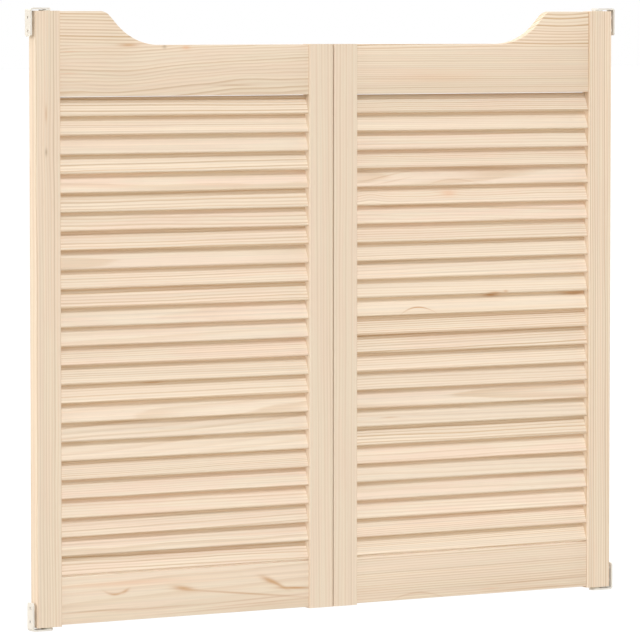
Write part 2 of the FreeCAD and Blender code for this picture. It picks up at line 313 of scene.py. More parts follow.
@dataclass(frozen=True)
class Figure:
    """A pattern of noise in the wood, drawn out along the board.

    Attributes:
        length: Size of its patches along the board.
        width: Their size across and through the board.
        detail: Number of finer layers.
        salt: Number that tells its noise from that of the board's other patterns.
    """

    length: float
    width: float
    detail: float
    salt: float

    def draw(
        self, tree: NodeTree, entry: Mapping[str, NodeSocket], output: str = "Fac"
    ) -> NodeSocket:
        """Adds the nodes of the pattern.

        Args:
            tree: Node group of the pine.
            entry: Sockets that bring in the group's inputs, by name.
            output: Whether the noise gives its value, Fac, or its Color.

        Returns:
            Socket of the noise.
        """
        put = partial(add, tree)
        shift = put("Math", (entry["seed"], self.salt), operation="MULTIPLY")
        offset = put("CombineXYZ", (shift, shift, shift))
        scale = (1 / self.length, 1 / self.width, 1 / self.width)
        place = put("VectorMath", (entry["Board"], scale, offset), operation="MULTIPLY_ADD")
        return put("TexNoise", {"Vector": place, "Scale": 1.0, "Detail": self.detail}, output)


@dataclass(frozen=True)
class PlanedPine:
    """Pine, planed and sanded but unfinished: pale cream early wood between fine tan late wood.

    Nothing seals it, so it is matt. The late wood stands a few hundredths of a millimetre proud,
    which only shows where light grazes the face.

    Attributes:
        early: Colour of the early wood, as an sRGB hex code like the next two.
        warm: Colour of the warmer, pinker early wood.
        late: Colour of the late wood.
        roughness: Roughness of the sanded face.
        specular: Strength of its sheen.
        relief: Height by which the hard parts of the grain stand proud.
        waves: Slow growth waves that shift the rings.
        jitter: Pattern that widens and narrows single years.
        jitter_share: How much of a year that pattern shifts.
        darkening: Part of a year in which the wood turns dark, from 0 to 1.
        ending: Part of a year in which it turns pale again.
        faintest: Darkness of the faintest year.
        lottery: What chance can add to a year's darkness.
        duct: Resin ducts, short thin dashes along the grain.
        duct_limits: Levels of that pattern between which a duct shows.
        duct_depth: Darkness of a duct.
        blush: Patches of the warmer wood.
        blush_limits: Levels of that pattern between which the warmth comes in.
        fibre: Fine fibres.
        fibre_share: How much the fibres lighten the wood.
        fibre_base: Lightness of the wood without them.
        streak: Long pale and dark streaks.
        end_shade: How much darker end grain is.
        ring_relief: Share of the relief that belongs to the late wood; the rest is the fibres'.
        end_grain: How squarely a face must look along the board to count as end grain.
        bow_fade: How fast the bowed grain round a mark fades, 1 for as fast as its patch.
    """

    early: str = "#ECDDC9"
    warm: str = "#EED7C4"
    late: str = "#CDAE8A"
    roughness: float = 0.62
    specular: float = 0.25
    relief: float = 0.06
    waves: Figure = Figure(190, 34, 3.0, 13.7)
    jitter: Figure = Figure(420, 12, 1.0, 5.1)
    jitter_share: float = 0.5
    darkening: tuple[float, float] = (0.30, 0.86)
    ending: tuple[float, float] = (0.88, 1.0)
    faintest: float = 0.3
    lottery: float = 0.8
    duct: Figure = Figure(22, 1.0, 0.0, 9.9)
    duct_limits: tuple[float, float] = (0.70, 0.82)
    duct_depth: float = 0.16
    blush: Figure = Figure(150, 14, 2.0, 3.3)
    blush_limits: tuple[float, float] = (0.38, 0.62)
    fibre: Figure = Figure(60, 0.8, 1.0, 7.7)
    fibre_share: float = 0.07
    fibre_base: float = 0.965
    streak: Figure = Figure(650, 2.2, 2.0, 21.3)
    end_shade: float = 0.14
    ring_relief: float = 0.7
    end_grain: tuple[float, float] = (0.8, 0.95)
    bow_fade: float = 0.18

    def radius(self, tree: NodeTree, entry: Mapping[str, NodeSocket]) -> NodeSocket:
        """Adds the distance from the heart of the log, shifted by the slow growth waves.

        Args:
            tree: Node group of the pine.
            entry: Sockets that bring in the group's inputs, by name.

        Returns:
            Socket of the distance.
        """
        put = partial(add, tree)
        board = put("SeparateXYZ", (entry["Board"],)).node.outputs
        wave = self.waves.draw(tree, entry, "Color")
        wave = put("SeparateXYZ", (wave,)).node.outputs
        squares = []
        for axis, name in (("Y", "across"), ("Z", "depth")):
            run_out = put("Math", (board["X"], entry[f"slope_{name}"]), operation="MULTIPLY")
            heart = put("Math", (entry[f"pith_{name}"], run_out), operation="ADD")
            drift = put("Math", (wave[axis], 0.5), operation="SUBTRACT")
            drift = put("Math", (drift, entry["wander"]), operation="MULTIPLY")
            reach = put("Math", (board[axis], heart), operation="SUBTRACT")
            reach = put("Math", (reach, drift), operation="ADD")
            squares.append(put("Math", (reach, reach), operation="MULTIPLY"))
        return put("Math", (put("Math", tuple(squares), operation="ADD"),), operation="SQRT")

    def late_wood(self, tree: NodeTree, entry: Mapping[str, NodeSocket]) -> NodeSocket:
        """Adds the year rings: slow darkening and a sharp return, each year of its own strength.

        Args:
            tree: Node group of the pine.
            entry: Sockets that bring in the group's inputs, by name.

        Returns:
            Socket of the share of late wood.
        """
        put = partial(add, tree)
        years = put("Math", (self.radius(tree, entry), entry["ring"]), operation="DIVIDE")
        shift = self.jitter.draw(tree, entry)
        years = put("Math", (shift, self.jitter_share, years), operation="MULTIPLY_ADD")
        phase = put("Math", (years,), operation="FRACT")
        year = put("Math", (years,), operation="FLOOR")
        chance = put("TexWhiteNoise", {"W": year}, "Value", noise_dimensions="1D")
        late = put("MapRange", (phase, *self.darkening), interpolation_type="SMOOTHSTEP")
        limits = (phase, *self.ending, 1.0, 0.0)
        contrast = entry["contrast"]
        factors = (
            put("MapRange", limits, interpolation_type="SMOOTHSTEP"),
            put("Math", (chance, self.lottery, self.faintest), operation="MULTIPLY_ADD"),
            put("Math", (entry["end"], contrast, contrast), operation="MULTIPLY_ADD"),
        )
        for factor in factors:
            late = put("Math", (late, factor), operation="MULTIPLY")
        return late

    def log(self) -> NodeTree:
        """Builds the node group that turns a place in the log into colour and height.

        Returns:
            The node group.
        """
        tree = bpy.data.node_groups.new("pine_log", "ShaderNodeTree")
        tree.interface.new_socket("Board", in_out="INPUT", socket_type="NodeSocketVector")
        for name in (*Cut().numbers(), "end"):
            tree.interface.new_socket(name, in_out="INPUT", socket_type="NodeSocketFloat")
        tree.interface.new_socket("Color", in_out="OUTPUT", socket_type="NodeSocketColor")
        tree.interface.new_socket("Height", in_out="OUTPUT", socket_type="NodeSocketFloat")
        entry = tree.nodes.new("NodeGroupInput").outputs
        put = partial(add, tree)

        # Colour: the two early woods, late wood over them, and the ducts where it is pale
        late = self.late_wood(tree, entry)
        limits = (self.duct.draw(tree, entry), *self.duct_limits, 0.0, self.duct_depth)
        duct = put("MapRange", limits, interpolation_type="SMOOTHSTEP")
        dark = put("Math", (late, duct), operation="MAXIMUM")
        limits = (self.blush.draw(tree, entry), *self.blush_limits)
        blush = put("MapRange", limits, interpolation_type="SMOOTHSTEP")
        blush = put("Math", (blush, entry["warmth"]), operation="MULTIPLY")
        ground = put("MixRGB", (blush, srgb(self.early), srgb(self.warm)))
        shade = put("MixRGB", (dark, ground, srgb(self.late)))

        # Lightness: fine fibres, long streaks, darker end grain and the tone of the board
        fibre = self.fibre.draw(tree, entry)
        streak = put("Math", (self.streak.draw(tree, entry), 0.5), operation="SUBTRACT")
        value = put("Math", (fibre, self.fibre_share, self.fibre_base), operation="MULTIPLY_ADD")
        factors = (
            put("Math", (streak, entry["streak"], 1.0), operation="MULTIPLY_ADD"),
            put("Math", (entry["end"], -self.end_shade, 1.0), operation="MULTIPLY_ADD"),
            entry["tone"],
        )
        for factor in factors:
            value = put("Math", (value, factor), operation="MULTIPLY")
        colour = put("VectorMath", {0: shade, "Scale": value}, "Vector", operation="SCALE")
        ridge = put("Math", (late, self.ring_relief), operation="MULTIPLY")
        height = (fibre, 1 - self.ring_relief, ridge)

        leave = tree.nodes.new("NodeGroupOutput").inputs
        tree.links.new(colour, leave["Color"])
        tree.links.new(put("Math", height, operation="MULTIPLY_ADD"), leave["Height"])
        return tree

    def board(
        self, name: str, log: NodeTree, middle: Vector, turn: Matrix, cut: Cut
    ) -> Material:
        """Builds the material of one board.

        Args:
            name: Name of the material.
            log: Node group made by the log method.
            middle: Middle of the board in metres, in the pair's frame.
            turn: Rotation from board axes to the pair's axes.
            cut: How the board was sawn.

        Returns:
            The material.
        """
        material = new_material(name)
        put = partial(add, material.node_tree)
        origin = put("TexCoord").node.outputs
        place = {"Vector": origin["Object"], "Location": middle}
        place |= {"Rotation": turn.to_euler(), "Scale": (MM, MM, MM)}
        board = put("Mapping", place, vector_type="TEXTURE")
        axes = put("SeparateXYZ", (board,)).node.outputs

        # Each mark tints a patch of the face, and some bow the grain round it
        bow = 0.0
        patches = []
        for mark in cut.marks:
            spread = mark.spread(material.node_tree, axes)
            patch = put("Math", (spread, -1.0), operation="MULTIPLY")
            patch = put("Math", (patch,), operation="EXPONENT")
            patches.append(put("Math", (patch, mark.strength), operation="MULTIPLY"))
            if mark.lift:
                hill = put("Math", (spread, -self.bow_fade), operation="MULTIPLY")
                hill = put("Math", (hill,), operation="EXPONENT")
                bow = put("Math", (hill, mark.lift, bow), operation="MULTIPLY_ADD")
        if isinstance(bow, NodeSocket):
            lowered = put("CombineXYZ", {"Y": bow})
            board = put("VectorMath", (board, lowered), operation="SUBTRACT")

        # The log's numbers, which change at the glue line where a second board is glued on
        numbers = cut.numbers()
        if cut.upper:
            above = put("Math", (axes["Y"], cut.glue_line), operation="GREATER_THAN")
            for key, value in cut.upper.numbers().items():
                steps = (above, value - numbers[key], numbers[key])
                numbers[key] = put("Math", steps, operation="MULTIPLY_ADD")
        ends = (origin["Normal"], turn.col[0])
        end = put("VectorMath", ends, "Value", operation="DOT_PRODUCT")
        end = put("Math", (end,), operation="ABSOLUTE")
        end = put("MapRange", (end, *self.end_grain))
        wood = put("Group", {"Board": board, "end": end, **numbers}, node_tree=log).node.outputs

        colour = wood["Color"]
        for mark, patch in zip(cut.marks, patches):
            colour = put("MixRGB", (patch, colour, srgb(mark.tint.value)))
        relief = {"Height": wood["Height"], "Distance": self.relief * MM}
        surface = {
            "Base Color": colour,
            "Roughness": self.roughness,
            "Specular IOR Level": self.specular,
            "Normal": put("Bump", relief),
        }
        put("OutputMaterial", {"Surface": put("BsdfPrincipled", surface)})
        return material


class Finish(ABC):
    """A finish that is the same on every piece that it dresses."""

    name: str

    @abstractmethod
    def surface(self, put: Callable) -> dict[str, Any]:
        """Adds the nodes of the finish and returns the inputs of its shader."""

    def material(self) -> Material:
        """Builds the material.

        Returns:
            The material.
        """
        material = new_material(self.name)
        put = partial(add, material.node_tree)
        put("OutputMaterial", {"Surface": put("BsdfPrincipled", self.surface(put))})
        return material


@dataclass(frozen=True)
class Metal(Finish):
    """A bare or plated steel surface, even but for faint clouding and fine tool lines.

    Attributes:
        name: Name of the finish.
        colour: Colour of the reflection as an sRGB hex code.
        roughness: Usual roughness.
        cloud: Size of the cloudy patches that change the roughness.
        lines: Spacing of the tool lines.
        stretch: How many times longer than their spacing the lines are along Z.
        clouding: Least and greatest roughness of the patches, 1 for the usual.
        relief: Depth of the tool lines.
    """

    name: str
    colour: str
    roughness: float
    cloud: float = 5.0
    lines: float = 0.4
    stretch: float = 1.0
    clouding: tuple[float, float] = (0.8, 1.25)
    relief: float = 0.01

    def surface(self, put: Callable) -> dict[str, Any]:
        """Adds the nodes of the finish.

        Args:
            put: Adds a node to the material.

        Returns:
            Inputs of the shader.
        """
        place = put("TexCoord", output="Object")
        patch = {"Vector": place, "Scale": 1 / (self.cloud * MM), "Detail": 3.0}
        low, high = (self.roughness * share for share in self.clouding)
        limits = {"Value": put("TexNoise", patch), "To Min": low, "To Max": high}
        size = {"Vector": place, "Scale": (1.0, 1.0, 1 / self.stretch)}
        grain = {"Vector": put("Mapping", size), "Scale": 1 / (self.lines * MM)}
        relief = {"Height": put("TexNoise", grain), "Distance": self.relief * MM}
        return {
            "Base Color": srgb(self.colour),
            "Metallic": 1.0,
            "Roughness": put("MapRange", limits),
            "Normal": put("Bump", relief),
        }


@dataclass(frozen=True)
class PowderCoat(Finish):
    """White powder coat on pressed steel: an even off-white skin, slightly pebbled, half matt.

    Attributes:
        name: Name of the finish.
        colour: Colour of the coat as an sRGB hex code.
        roughness: Roughness of the coat.
        pebble: Size of its pebbles.
        relief: Height of its pebbles.
    """

    name: str = "white_powder_coat"
    colour: str = "#E2DFD8"
    roughness: float = 0.38
    pebble: float = 1.2
    relief: float = 0.02

    def surface(self, put: Callable) -> dict[str, Any]:
        """Adds the nodes of the finish.

        Args:
            put: Adds a node to the material.

        Returns:
            Inputs of the shader.
        """
        place = put("TexCoord", output="Object")
        skin = {"Vector": place, "Scale": 1 / (self.pebble * MM), "Detail": 1.0}
        relief = {"Height": put("TexNoise", skin), "Distance": self.relief * MM}
        return {
            "Base Color": srgb(self.colour),
            "Roughness": self.roughness,
            "Normal": put("Bump", relief),
        }


@dataclass(frozen=True)
class MouldedNylon(Finish):
    """Natural nylon, moulded: milky off-white with a soft sheen and faint flow marks.

    Attributes:
        name: Name of the finish.
        colour: Colour of the nylon, as an sRGB hex code like the next one.
        shadow: Colour of its flow marks.
        roughness: Roughness of the moulded skin.
        flow: Size of the flow marks.
    """

    name: str = "moulded_nylon"
    colour: str = "#E6E2D6"
    shadow: str = "#D5CFC0"
    roughness: float = 0.42
    flow: float = 4.0

    def surface(self, put: Callable) -> dict[str, Any]:
        """Adds the nodes of the finish.

        Args:
            put: Adds a node to the material.

        Returns:
            Inputs of the shader.
        """
        place = put("TexCoord", output="Object")
        patch = {"Vector": place, "Scale": 1 / (self.flow * MM), "Detail": 2.0}
        tones = (put("TexNoise", patch), srgb(self.colour), srgb(self.shadow))
        return {"Base Color": put("MixRGB", tones), "Roughness": self.roughness}


@dataclass(frozen=True)
class TurnedBeech(Finish):
    """Beech, turned to dowel: pinkish tan with short dark flecks along the grain.

    Attributes:
        name: Name of the finish.
        ground: Colour of the wood, as an sRGB hex code like the next one.
        fleck: Colour of the flecks.
        roughness: Roughness of the dowel.
        fleck_size: Size of a fleck along X, Y and Z.
        fleck_limits: Levels of the noise between which a fleck shows.
    """

    name: str = "turned_beech"
    ground: str = "#D9B68F"
    fleck: str = "#B98C62"
    roughness: float = 0.55
    fleck_size: tuple[float, float, float] = (3.0, 0.4, 0.4)
    fleck_limits: tuple[float, float] = (0.45, 0.7)

    def surface(self, put: Callable) -> dict[str, Any]:
        """Adds the nodes of the finish.

        Args:
            put: Adds a node to the material.

        Returns:
            Inputs of the shader.
        """
        size = tuple(1 / (length * MM) for length in self.fleck_size)
        place = {"Vector": put("TexCoord", output="Object"), "Scale": size}
        dashes = put("TexNoise", {"Vector": put("Mapping", place), "Scale": 1.0})
        flecks = put("MapRange", (dashes, *self.fleck_limits))
        tones = (flecks, srgb(self.ground), srgb(self.fleck))
        return {"Base Color": put("MixRGB", tones), "Roughness": self.roughness}


def work_on(piece: Object) -> None:
    """Deselects everything but this piece and makes it active.

    Args:
        piece: Object that the next operators act on.
    """
    bpy.ops.object.select_all(action="DESELECT")
    piece.select_set(True)
    bpy.context.view_layer.objects.active = piece


def block(name: str, low: Vector, high: Vector) -> Object:
    """Adds a cube at its size and place, with its origin at the pair's origin.

    Args:
        name: Name of the object.
        low: Lowest corner in metres.
        high: Highest corner in metres.

    Returns:
        The new object.
    """
    bpy.ops.object.select_all(action="DESELECT")
    middle = (low + high) / 2
    bpy.ops.mesh.primitive_cube_add(size=1.0, location=middle, scale=high - low)
    piece = bpy.context.object
    piece.name = name
    piece.data.name = name
    bpy.ops.object.transform_apply(location=True, rotation=True, scale=True)
    return piece


def copy_of(piece: Object, name: str) -> Object:
    """Copies a piece, with a mesh of its own.

    Args:
        piece: Object to copy.
        name: Name of the copy and of its mesh.

    Returns:
        The copy.
    """
    twin = bpy.data.objects.new(name, piece.data.copy())
    twin.data.name = name
    bpy.context.scene.collection.objects.link(twin)
    return twin


def edit_edges(piece: Object, wanted: Callable[[Vector, Vector], bool]) -> None:
    """Opens a piece in edit mode with some of its edges selected.

    Args:
        piece: Object to edit.
        wanted: Says from the two ends of an edge whether it is selected.
    """
    work_on(piece)
    mesh = piece.data
    for group in (mesh.vertices, mesh.edges, mesh.polygons):
        group.foreach_set("select", [False] * len(group))
    for edge in mesh.edges:
        ends = [mesh.vertices[index].co for index in edge.vertices]
        edge.select = wanted(*ends)
    bpy.context.tool_settings.mesh_select_mode = (False, True, False)
    bpy.ops.object.mode_set(mode="EDIT")


def close_edit() -> None:
    """Leaves edit mode."""
    bpy.ops.object.mode_set(mode="OBJECT")


def smooth(piece: Object) -> None:
    """Shades a piece smooth across edges flatter than the smoothing angle."""
    work_on(piece)
    bpy.ops.object.shade_smooth_by_angle(angle=math.radians(SMOOTH_ANGLE))


def middle_of(node: str) -> Vector:
    """Middle of a node's box in metres."""
    low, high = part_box(node)
    return (low + high) / 2


@dataclass
class Louvres:
    """The twenty-five round-nosed slats of one leaf.

    Attributes:
        side: Leaf that the slats belong to.
        timber: Boards picked for the leaf.
        width: Width of a slat across its tilt.
        thickness: Thickness of a slat.
        tilt: Angle from upright by which the upper edge leans back, in degrees.
        nose_radius: Radius of the rounded long edges.
        nose_segments: Flats that each rounded edge is made of.
        count: Number of slats.
        plain_share: Share of the slats that are plain-sawn.
    """

    side: Side
    timber: Timber
    width: float = 30.2
    thickness: float = 5.0
    tilt: float = 24.5
    nose_radius: float = 2.4
    nose_segments: int = 6
    count: int = 25
    plain_share: float = 0.3

    def node_of(self, number: int) -> str:
        """Names the node that holds a slat: two neighbours share one, the highest has its own.

        Args:
            number: Slat number, 1 for the lowest.

        Returns:
            The node's name.
        """
        lower = number if number % 2 else number - 1
        name = f"{self.side.label}_slat_{lower:02d}"
        return name if lower == self.count else f"{name}_{lower + 1:02d}"

    def middle(self, number: int) -> Vector:
        """Middle of a slat in metres.

        Args:
            number: Slat number, 1 for the lowest.

        Returns:
            The middle of the slat's box.
        """
        low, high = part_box(self.node_of(self.count))
        height = high.z - low.z
        node_low, node_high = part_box(self.node_of(number))
        foot = node_low.z if number % 2 else node_high.z - height
        return Vector(((low.x + high.x) / 2, (low.y + high.y) / 2, foot + height / 2))

    def model_pattern(self) -> Object:
        """Models the lowest slat, from which the others are copied.

        Returns:
            The finished slat, in its place.
        """
        middle = self.middle(1)
        low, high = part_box(self.node_of(1))
        half = Vector((high.x - low.x, self.thickness * MM, self.width * MM)) / 2
        slat = block(f"{self.side.label}_louvre_01", middle - half, middle + half)
        edit_edges(slat, lambda a, b: abs(a.x - b.x) > half.x)
        radius = self.nose_radius * MM
        bpy.ops.mesh.bevel(offset=radius, segments=self.nose_segments, affect="EDGES")
        bpy.ops.mesh.select_all(action="SELECT")
        lean = math.radians(self.tilt)
        bpy.ops.transform.rotate(value=lean, orient_axis="X", center_override=middle)
        close_edit()
        smooth(slat)
        return slat

    def cut(self, number: int) -> Cut:
        """Chooses how a slat was sawn.

        Args:
            number: Slat number, 1 for the lowest.

        Returns:
            The cut, the same on every run.
        """
        # A seed of its own for every slat of the pair
        draw = random.Random(100 * (self.side.value + 2) + number)
        sawing = Sawing.PLAIN if draw.random() < self.plain_share else Sawing.QUARTER
        across, depth, contrast = sawing.value
        reach_across = draw.uniform(*across)
        reach_through = draw.uniform(*depth)
        return Cut(
            pith_across=draw.choice((-1, 1)) * reach_across,
            pith_depth=draw.choice((-1, 1)) * reach_through,
            slope_across=draw.uniform(-0.012, 0.012),
            slope_depth=draw.uniform(-0.02, 0.02),
            ring=draw.uniform(2.6, 5.0),
            wander=draw.uniform(2, 6),
            contrast=draw.uniform(*contrast),
            warmth=draw.uniform(0.0, 0.8),
            streak=draw.uniform(0.25, 0.45),
            tone=draw.uniform(0.94, 0.99),
            seed=draw.uniform(1, 9),
            marks=self.timber.slat_marks.get(number, ()),
        )

    def build(self, pine: PlanedPine, log: NodeTree) -> None:
        """Models, dresses and hangs all slats of the leaf.

        Args:
            pine: Finish of the slats.
            log: Node group of the pine.
        """
        pattern = self.model_pattern()
        turn = Lay.LEVEL.turn(math.radians(self.tilt))
        for number in range(1, self.count + 1):
            middle = self.middle(number)
            slat = pattern
            if number > 1:
                slat = copy_of(pattern, f"{self.side.label}_louvre_{number:02d}")
                slat.data.transform(Matrix.Translation(middle - self.middle(1)))
            node = self.node_of(number)
            material_name = f"planed_pine_{slat.name}"
            dress(slat, pine.board(material_name, log, middle, turn, self.cut(number)))
            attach(slat, self.side.body)
            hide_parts(node)
            LOG.info("%s leaf: slat %d, in %s", self.side.label, number, node)


@dataclass
class Rails:
    """The plain bottom rail and the S-curved top rail of one leaf.

    Attributes:
        side: Leaf that the rails belong to.
        timber: Boards picked for the leaf.
        arris: Rounding of the sawn edges.
        arris_segments: Flats that each rounding is made of.
        arris_angle: Turn of the surface in degrees past which an edge is rounded.
        crown_end: From the leaf's outer edge to where the top starts to fall.
        crown_radius: Radius of the convex arc at the head of the fall.
        hollow_radius: Radius of the concave arc at its foot.
        slope: Steepest slope of the fall, in degrees.
        low_height: Height of the top rail at the meeting stile.
        arc_steps: Flats that each arc is made of.
    """

    side: Side
    timber: Timber
    arris: float = 0.6
    arris_segments: int = 3
    arris_angle: float = 50.0
    crown_end: float = 108.0
    crown_radius: float = 21.0
    hollow_radius: float = 95.0
    slope: float = 47.0
    low_height: float = 75.0
    arc_steps: int = 14

    def fall_line(self) -> list[tuple[float, float]]:
        """Works out the falling edge from its head to its foot.

        Returns:
            Pairs of distance from the leaf's outer edge and drop below the rail's high top.
        """
        low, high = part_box(f"{self.side.label}_top_rail")
        total = (high.z - low.z) / MM - self.low_height
        slope = math.radians(self.slope)
        arcs = self.crown_radius + self.hollow_radius
        straight = (total - arcs * (1 - math.cos(slope))) / math.tan(slope)
        foot = self.crown_end + arcs * math.sin(slope) + straight
        angles = [slope * step / self.arc_steps for step in range(self.arc_steps + 1)]
        points = []
        for angle in angles:
            run = self.crown_radius * math.sin(angle)
            points.append((self.crown_end + run, self.crown_radius * (1 - math.cos(angle))))
        for angle in reversed(angles):
            run = self.hollow_radius * math.sin(angle)
            points.append((foot - run, total - self.hollow_radius * (1 - math.cos(angle))))
        return points

    def model_top(self) -> Object:
        """Models the top rail from a block of its full height.

        Returns:
            The finished rail.
        """
        low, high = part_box(f"{self.side.label}_top_rail")
        rail = block(f"{self.side.label}_curved_top_rail", low, high)
        outer = self.side.outer_edge("hinge_stile")
        inward = -self.side.value
        line = [(outer + inward * run * MM, drop * MM) for run, drop in self.fall_line()]
        edit_edges(rail, lambda a, b: False)
        for place, _ in line:
            bpy.ops.mesh.select_all(action="SELECT")
            bpy.ops.mesh.bisect(plane_co=(place, 0, 0), plane_no=(1, 0, 0))
        close_edit()
        low_end = self.side.outer_edge("meeting_stile")
        for place, drop in (*line, (low_end, line[-1][1])):
            edit_edges(
                rail,
                lambda a, b: abs(a.x - place) < NEAR
                and abs(b.x - place) < NEAR
                and min(a.z, b.z) > high.z - NEAR,
            )
            bpy.ops.transform.translate(value=(0, 0, -drop))
            close_edit()
        self.ease(rail)
        return rail

    def model_bottom(self) -> Object:
        """Models the bottom rail.

        Returns:
            The finished rail.
        """
        low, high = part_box(f"{self.side.label}_bottom_rail")
        rail = block(f"{self.side.label}_plain_bottom_rail", low, high)
        self.ease(rail)
        return rail

    def ease(self, rail: Object) -> None:
        """Rounds the sawn edges of a rail with a bevel modifier and applies it.

        Args:
            rail: Rail with sharp edges.
        """
        work_on(rail)
        bevel = rail.modifiers.new("eased_edges", "BEVEL")
        bevel.width = self.arris * MM
        bevel.segments = self.arris_segments
        bevel.limit_method = "ANGLE"
        bevel.angle_limit = math.radians(self.arris_angle)
        bpy.ops.object.modifier_apply(modifier=bevel.name)
        smooth(rail)

    def build(self, pine: PlanedPine, log: NodeTree) -> None:
        """Models, dresses and hangs both rails.

        Args:
            pine: Finish of the rails.
            log: Node group of the pine.
        """
        pieces = (
            (self.model_top(), "top_rail", self.timber.top_rail),
            (self.model_bottom(), "bottom_rail", self.timber.bottom_rail),
        )
        for rail, part, cut in pieces:
            node = f"{self.side.label}_{part}"
            name = f"planed_pine_{node}"
            dress(rail, pine.board(name, log, middle_of(node), Lay.LEVEL.turn(), cut))
            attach(rail, self.side.body)
            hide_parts(node)
            LOG.info("%s leaf: %s", self.side.label, part)


@dataclass
class Stiles:
    """The tall hinge stile and the meeting stile of one leaf, which keep their solids.

    Attributes:
        side: Leaf that the stiles belong to.
        timber: Boards picked for the leaf.
    """

    side: Side
    timber: Timber

    def build(self, nodes: dict[str, Object], pine: PlanedPine, log: NodeTree) -> None:
        """Dresses both stiles.

        Args:
            nodes: Node names to objects.
            pine: Finish of the stiles.
            log: Node group of the pine.
        """
        cuts = {
            "hinge_stile": self.timber.hinge_stile,
            "meeting_stile": self.timber.meeting_stile,
        }
        for part, cut in cuts.items():
            node = f"{self.side.label}_{part}"
            name = f"planed_pine_{node}"
            turn = Lay.UPRIGHT.turn()
            dress(nodes[node], pine.board(name, log, middle_of(node), turn, cut))
            LOG.info("%s leaf: %s", self.side.label, part)


LEFT_TIMBER = Timber(
    hinge_stile=Cut(
        95, -30, 0.004, 0.01, ring=4.4, wander=6, contrast=0.5, streak=0.32, tone=0.95, seed=2.3,
        marks=(
            Mark(300, 3.1, 12, 1.4, 0.45),
            Mark(245, 3.1, 5.5, 1.9, 0.5, Tint.KNOT),
            Mark(262, 3.4, 22, 5.0, 0.0, lift=2.5),
        ),
    ),
    meeting_stile=Cut(
        -80, -25, 0.003, 0.01, ring=4.8, wander=3, contrast=0.26, streak=0.2, tone=0.94, seed=4.1,
    ),
    top_rail=Cut(
        -98, -52, 0.01, 0.03, ring=4.0, wander=9, contrast=0.65, streak=0.2, tone=0.965, seed=3.2,
        marks=(
            Mark(-96, 12.6, 15, 2.4, 0.55),
            Mark(-36, 10.2, 3.4, 3.0, 0.45, Tint.KNOT),
            Mark(0, 8.8, 7.0, 2.8, 0.55, Tint.BLUSH),
            Mark(-193, 3.2, 15, 0.9, 0.4, Tint.BLUSH),
            Mark(-193, -28, 15, 0.9, 0.4, Tint.BLUSH),
            Mark(82, -47.3, 34, 1.3, 0.5, Tint.TAN),
            Mark(-95, -34, 30, 15, 0.0, lift=-7),
            Mark(92, -45, 24, 12, 0.0, lift=4),
        ),
        glue_line=12.0,
        upper=Cut(
            -170, -20, -0.013, 0.0, ring=4.5, wander=2, contrast=1.0, streak=0.1, tone=0.965,
            seed=5.3,
        ),
    ),
    bottom_rail=Cut(
        -40, -70, 0.0, 0.02, ring=6.5, wander=5, contrast=0.26, streak=0.2, tone=0.965, seed=6.4,
        marks=(
            Mark(-120, 4.6, 14, 1.8, 0.62, curl=3.2),
            Mark(-103, 8.2, 6, 2.6, 0.45, slant=0.4),
            Mark(-6, 6.6, 18, 3.6, 0.62, slant=-0.16),
            Mark(95, -7.2, 95, 1.3, 0.5, slant=-0.115),
            Mark(140, 9.6, 14, 4.2, 0.58, slant=-0.4),
            Mark(157, 1.5, 14, 2.6, 0.5, slant=-0.5),
            Mark(184, -4.6, 30, 1.8, 0.75, slant=-0.06),
            Mark(-100, 20, 130, 4.0, 0.3, Tint.BLUSH),
            Mark(-150, -18.0, 62, 1.2, 0.6, Tint.TAN, curl=-1),
            Mark(-40, -19.5, 70, 1.1, 0.4, Tint.TAN, slant=0.01),
            Mark(110, -17.5, 110, 1.1, 0.42, Tint.TAN, slant=0.03),
            Mark(120, -23.5, 90, 1.0, 0.42, Tint.TAN, slant=0.02),
            Mark(60, -28.5, 110, 1.0, 0.4, Tint.TAN, slant=0.015),
        ),
    ),
    slat_marks={
        1: (Mark(-63, 13.2, 18, 1.2, 0.45, Tint.BLUSH),),
        10: (Mark(-51.5, 11.9, 16, 1.4, 0.55),),
    },
)

